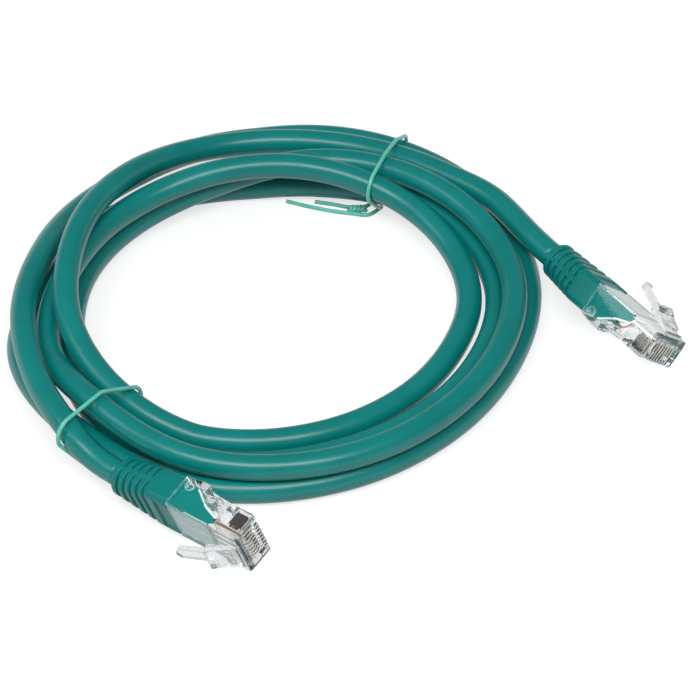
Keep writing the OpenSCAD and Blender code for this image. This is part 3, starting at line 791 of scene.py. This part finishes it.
def make_filling(which, side):
    """Half of the filling, from the jacket out to one side wall, with its lug's hole, whose wall is
    painted pale as a highlight.
    """
    points = []
    for x, low in FILL_OUTLINE:
        heights = np.linspace(low, FILL_TOP, FILL_STEPS + 1)
        outer = [[x, side * FILL_SIDE, z] for z in heights]
        inner = [[x, side * fill_inside(x, z), z] for z in heights[::-1]]
        points += outer + inner
    ring = 2 * (FILL_STEPS + 1)
    low_edge = (0, 1, ring - 1)
    stretches = range(PAINTED_HIGHLIGHT_FROM, len(FILL_OUTLINE) - 1)
    highlit_faces = [stretch * ring + k for stretch in stretches for k in low_edge]
    half = piece(f"filling_{which}_{'left' if side > 0 else 'right'}", at_plug(which, points),
                 closed(len(FILL_OUTLINE), ring), FILL, smooth=False, second=PAINTED_RIM_HIGHLIGHT,
                 seconds=highlit_faces)
    hole = [[x, side * y, z] for y in (FILL_SIDE - LUG_LEN, FILL_SIDE + OVERRUN)
            for x, z in circle((LUG_X, LUG_Z), LUG_R, LUG_SIDES)]
    # The hole's wall takes the pale painted highlight, which shows as a ring through the housing
    combine(half, at_plug(which, hole), closed(2, LUG_SIDES), "DIFFERENCE",
            seconds=range(LUG_SIDES))
    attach(half, "cable")
    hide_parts("boot_" + which)


def make_filling_front(which):
    """The filling ahead of the jacket, moulded round the fanned conductors, its rim painted pale as
    a highlight.
    """
    low = np.array(FRONT_LOW)
    step = np.gradient(low, axis=0)
    away = np.stack([-step[:, 1], step[:, 0]], axis=1)
    away[-1] = (-1, 0)
    rim = low + RIM * away / np.linalg.norm(away, axis=1)[:, None]
    rim[0, 0] = low[0, 0]
    outline = np.vstack([low, rim, FRONT_TOP])
    count, n = len(outline), len(low)
    points = [[x, side * FILL_SIDE, z] for side in (-1, 1) for x, z in outline]
    faces, highlit_faces = [], []
    for foot in (0, count):
        highlit_faces += range(len(faces), len(faces) + n - 1)
        faces += [(foot + i, foot + i + 1, foot + n + i + 1, foot + n + i) for i in range(n - 1)]
        faces += [tuple(range(foot + n, foot + count))]
    edge = [*range(n), 2 * n - 1, *range(2 * n, count), n]
    faces += [(i, j, count + j, count + i) for i, j in zip(edge, edge[1:] + edge[:1])]
    block = piece("filling_" + which + "_front", at_plug(which, points), faces, FILL,
                  smooth=False, second=PAINTED_RIM_HIGHLIGHT, seconds=highlit_faces)
    turn_outward(block.data)
    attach(block, "cable")
    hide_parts("boot_" + which)


for which in PLUGS:
    make_boot(which)
for which in PLUGS:
    for side in (-1, 1):
        make_filling(which, side)
    make_filling_front(which)

# ---- The latches, in the plug's frame; a latch's own frame has its origin at the hinge ----

LATCH_W, BEAD_R, BEAD_SIDES = 6.0, 0.45, 24
SHOULDER_LEN, SHOULDER_RUN, SHOULDER_Z = 6.6, 2, 1.75
LATCH_ROOT, ROOT_Z, WEB_Z = 1.2, 0.6, 1.1
# The latch's outline from the side, without its lever, as x and z
LATCH_BACK = [(0, -BEAD_R), (0, BEAD_R), (-LATCH_ROOT, ROOT_Z),
              (SHOULDER_RUN - SHOULDER_LEN, WEB_Z), (-SHOULDER_LEN, SHOULDER_Z),
              (-SHOULDER_LEN, -BEAD_R)]
LEVER_T, LEVER_LEN, LEVER_START = 1.25, 13.9, -1
LEVER_ROOT_W, LEVER_TIP_W, TIP_STEPS = 3.5, 2.9, 16
LEVER_LIFT, BEAD_INSET = 0.01, 0.02     # keep the faces of joined forms out of one plane
LATCH_ROUND, LATCH_SHARP = 0.22, 40     # radius of its edges, and the angle that makes one
HINGE = (20.7, 0.0, 4.0)
LATCH_REST = {"a": 21.0, "b": 19.0}


def slab(outline, low, high, place):
    """Closed form of an outline, drawn out between two distances."""
    points = [place(u, v, w) for w in (low, high) for u, v in outline]
    return points, closed(2, len(outline))


def make_latch(which):
    """Latch with rounded edges: the shoulders, the lever and the bead, in one piece."""
    tilt = turned((0, LATCH_REST[which], 0))

    def placed(form):
        return at_plug(which, np.asarray(form, float) @ tilt.T + np.array(HINGE))

    def across(u, v, w):
        return (u, w, v)

    def upright(u, v, w):
        return (u, v, w)

    points, faces = slab(LATCH_BACK, -LATCH_W / 2, LATCH_W / 2, across)
    latch = piece("latch_" + which + "_body", placed(points), faces, LATCH, smooth=False)
    r = LEVER_TIP_W / 2
    tip = [(-LEVER_LEN + r + r * math.cos(v), r * math.sin(v))
           for v in np.radians(np.linspace(90, 270, TIP_STEPS + 1))]
    plan = [(LEVER_START, LEVER_ROOT_W / 2)] + tip + [(LEVER_START, -LEVER_ROOT_W / 2)]
    points, faces = slab(plan, -BEAD_R + LEVER_LIFT, -BEAD_R + LEVER_T, upright)
    combine(latch, placed(points), faces, "UNION")
    bead = [(BEAD_R * math.cos(v), BEAD_R * math.sin(v))
            for v in np.radians((np.arange(BEAD_SIDES) + 0.5) * 360 / BEAD_SIDES)]
    points, faces = slab(bead, -LATCH_W / 2 + BEAD_INSET, LATCH_W / 2 - BEAD_INSET, across)
    combine(latch, placed(points), faces, "UNION")
    soft = latch.modifiers.new("soft", "BEVEL")
    soft.width = LATCH_ROUND * MM
    soft.segments = 3
    soft.limit_method = "ANGLE"
    soft.angle_limit = math.radians(LATCH_SHARP)
    applied(latch)
    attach(latch, "latch_" + which)
    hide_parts("latch_" + which)


# ---- The conductors, in the plug's frame ----

POSITIONS = 8
WIRE_D, WIRE_SIDES = 0.92, 16
STRIPE_SIDES = 3        # width of a stripe, in sides of its conductor
STRIPE_RINGS = 4        # rings along the conductor for each side that the stripe moves on by
CONTACT_PITCH = 1.02
BUNDLE_ROW, BUNDLE_PITCH = 0.552, 0.5105
WIRE_X, WIRE_END = 7.5, 20.4
FAN_X, FAN_MID, FAN_END = 9.0, 11.6, 13.7
CHANNEL_Z = 1.55
WIRE_ORDER = ["wire_white_orange", "wire_orange", "wire_white_green", "wire_blue",
              "wire_white_blue", "wire_green", "wire_white_brown", "wire_brown"]


def conductor_path(i):
    """From the jacket's bundle out to the conductor's own channel."""
    ahead = np.array([1.0, 0, 0])
    place = i - (POSITIONS + 1) / 2
    y0, z0 = place * BUNDLE_PITCH, BUNDLE_ROW * (1 if i % 2 == 0 else -1)
    y = place * CONTACT_PITCH
    middle, end = np.array([FAN_MID, y, z0]), np.array([FAN_END, y, CHANNEL_Z])
    fan = bend(np.array([FAN_X, y0, z0]), ahead, middle, ahead, steps=14)
    climb = bend(middle, ahead, end, ahead, steps=12)
    path = np.vstack([[[WIRE_X, y0, z0]], fan, climb[1:], [[WIRE_END, y, CHANNEL_Z]]])
    return even(path, step=0.3)


def make_conductor(which, i, slot):
    """Insulated conductor; one of a pair's two is white with a stripe that winds round it."""
    path = at_plug(which, conductor_path(i))
    stripe = [ring * WIRE_SIDES + (ring // STRIPE_RINGS + k) % WIRE_SIDES
              for ring in range(len(path) - 1) for k in range(STRIPE_SIDES)]
    wire = piece(f"wire_{which}_{i}", tube_points(path, WIRE_D / 2, WIRE_SIDES),
                 closed(len(path), WIRE_SIDES), WIRES[slot], second=STRIPES.get(slot),
                 seconds=stripe)
    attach(wire, "cable")
    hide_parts(f"conductor_{which}_{i}")


def finish_node(name, material):
    """Give a CAD node that stays its material."""
    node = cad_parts[name]
    node.data.materials.clear()
    node.data.materials.append(material)


for which in PLUGS:
    finish_node("housing_" + which, CLEAR)
    make_latch(which)
    finish_node("jacket_end_" + which, JACKET)
    finish_node("copper_" + which, COPPER)
    for i, slot in enumerate(WIRE_ORDER):
        finish_node(f"contact_{which}_{i + 1}", BLADES[which])
        make_conductor(which, i + 1, slot)

# ---- Stage ----

WORLD_LEVEL, FLOOR_COLOUR = 0.25, (0.4, 0.4, 0.4)
# The floor's own glow for each kind of ray; a later kind wins over an earlier one
FLOOR_GLOW = [("Is Glossy Ray", 0.66), ("Is Transmission Ray", 0.6), ("Is Camera Ray", 0.72)]
FLOOR_REACH, FLOOR_Z = 6.0, -0.05 * MM
# The sky for each kind of ray: the heights between which it fades from white, and its top level
SKIES = [("Is Glossy Ray", 0.0, 0.3, 0.15), ("Is Transmission Ray", 0.2, 0.6, 0.75),
         ("Is Camera Ray", 0.0, 1.0, 1.0)]


def make_floor():
    """A pale floor that keeps the object's shadow, with a glow that lifts it to white."""
    m, nodes, links = new_material("floor")
    shader = nodes["Principled BSDF"]
    shader.inputs["Base Color"].default_value = (*FLOOR_COLOUR, 1)
    shader.inputs["Roughness"].default_value = 0.9
    rays = nodes.new("ShaderNodeLightPath")
    glow = nodes.new("ShaderNodeEmission")
    glow.inputs["Color"].default_value = (1, 1, 1, 1)
    level = None
    for ray, strength in FLOOR_GLOW:
        pick = nodes.new("ShaderNodeMix")
        pick.inputs["A"].default_value = 0.0
        if level:
            links.new(level.outputs["Result"], pick.inputs["A"])
        pick.inputs["B"].default_value = strength
        links.new(rays.outputs[ray], pick.inputs["Factor"])
        level = pick
    links.new(level.outputs["Result"], glow.inputs["Strength"])
    add = nodes.new("ShaderNodeAddShader")
    links.new(shader.outputs["BSDF"], add.inputs[0])
    links.new(glow.outputs["Emission"], add.inputs[1])
    links.new(add.outputs["Shader"], nodes["Material Output"].inputs["Surface"])
    mesh = bpy.data.meshes.new("floor")
    corners = [(x * FLOOR_REACH, y * FLOOR_REACH, FLOOR_Z)
               for x, y in ((-1, -1), (1, -1), (1, 1), (-1, 1))]
    mesh.from_pydata(corners, [], [(0, 1, 2, 3)])
    mesh.materials.append(m)
    add_object("floor", mesh)


def make_world():
    """Even light all round; gloss and glass see a white horizon under a dimmer ceiling."""
    world = bpy.data.worlds.new("studio")
    bpy.context.scene.world = world
    world.use_nodes = True
    nodes, links = world.node_tree.nodes, world.node_tree.links
    place = nodes.new("ShaderNodeTexCoord")
    height = nodes.new("ShaderNodeSeparateXYZ")
    links.new(place.outputs["Generated"], height.inputs["Vector"])
    rays = nodes.new("ShaderNodeLightPath")
    seen = nodes["Background"]
    seen.inputs["Color"].default_value = (1, 1, 1, 1)
    seen.inputs["Strength"].default_value = WORLD_LEVEL
    for ray, start, end, ceiling in SKIES:
        sky = nodes.new("ShaderNodeBackground")
        stops = [(start, (1, 1, 1)), (end, (ceiling, ceiling, ceiling))]
        links.new(ramp(nodes, links, height.outputs["Z"], stops), sky.inputs["Color"])
        mix = nodes.new("ShaderNodeMixShader")
        links.new(rays.outputs[ray], mix.inputs["Fac"])
        links.new(seen.outputs[0], mix.inputs[1])
        links.new(sky.outputs["Background"], mix.inputs[2])
        seen = mix
    links.new(seen.outputs[0], nodes["World Output"].inputs["Surface"])


def make_lamp(name, place, size, power):
    """Soft lamp that faces the object."""
    data = bpy.data.lights.new(name, "AREA")
    data.shape = "RECTANGLE"
    data.size, data.size_y = size
    data.energy = power
    lamp = add_object(name, data)
    lamp.location = place
    lamp.rotation_euler = (-Vector(place)).to_track_quat("-Z", "Y").to_euler()


make_floor()
make_world()
make_lamp("front", (-0.05, -0.48, 0.8), (0.9, 0.26), 6.5)
make_lamp("left", (-0.75, -0.1, 0.6), (0.35, 0.35), 1.0)
bpy.context.scene.view_settings.view_transform = "Standard"
